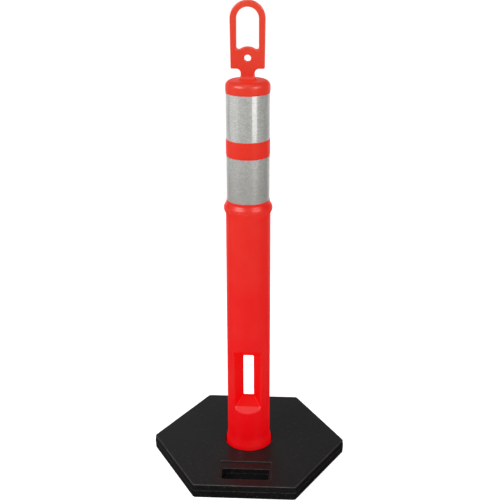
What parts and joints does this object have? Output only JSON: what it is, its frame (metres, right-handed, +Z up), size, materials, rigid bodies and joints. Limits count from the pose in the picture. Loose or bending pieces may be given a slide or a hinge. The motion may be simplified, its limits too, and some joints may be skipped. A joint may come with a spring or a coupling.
{
  "type": "delineator post",
  "caption": "Tubular delineator post with a loop handle and reflective bands, held by its foot flange in a hexagonal rubber base that lifts off over the top.",
  "frame": {"origin": "on the ground on the post's axis, which is the centre of the base's underside", "axes": "+Z up along the post; the base's hand hold is on the -Y side and the loop handle lies in the XZ plane"},
  "size_m": [0.4654, 0.4054, 1.085],
  "materials": {
    "moulded_post": "satin blow-moulded polyethylene, fluorescent red-orange",
    "reflective_sheeting": "silver-white retroreflective sheeting, fine sealed cell pattern under a clear gloss film",
    "recycled_rubber": "black moulded recycled rubber, dull sheen"
  },
  "bodies": {
    "post": {"post_body": "moulded_post", "upper_reflective_band": "reflective_sheeting", "lower_reflective_band": "reflective_sheeting"},
    "base": {"rubber_base": "recycled_rubber"}
  },
  "joints": [
    {"name": "base_lift", "type": "slide", "parent": "post", "child": "base", "axis": [0, 0, 1], "range_m": [0, 1.09]}
  ]
}
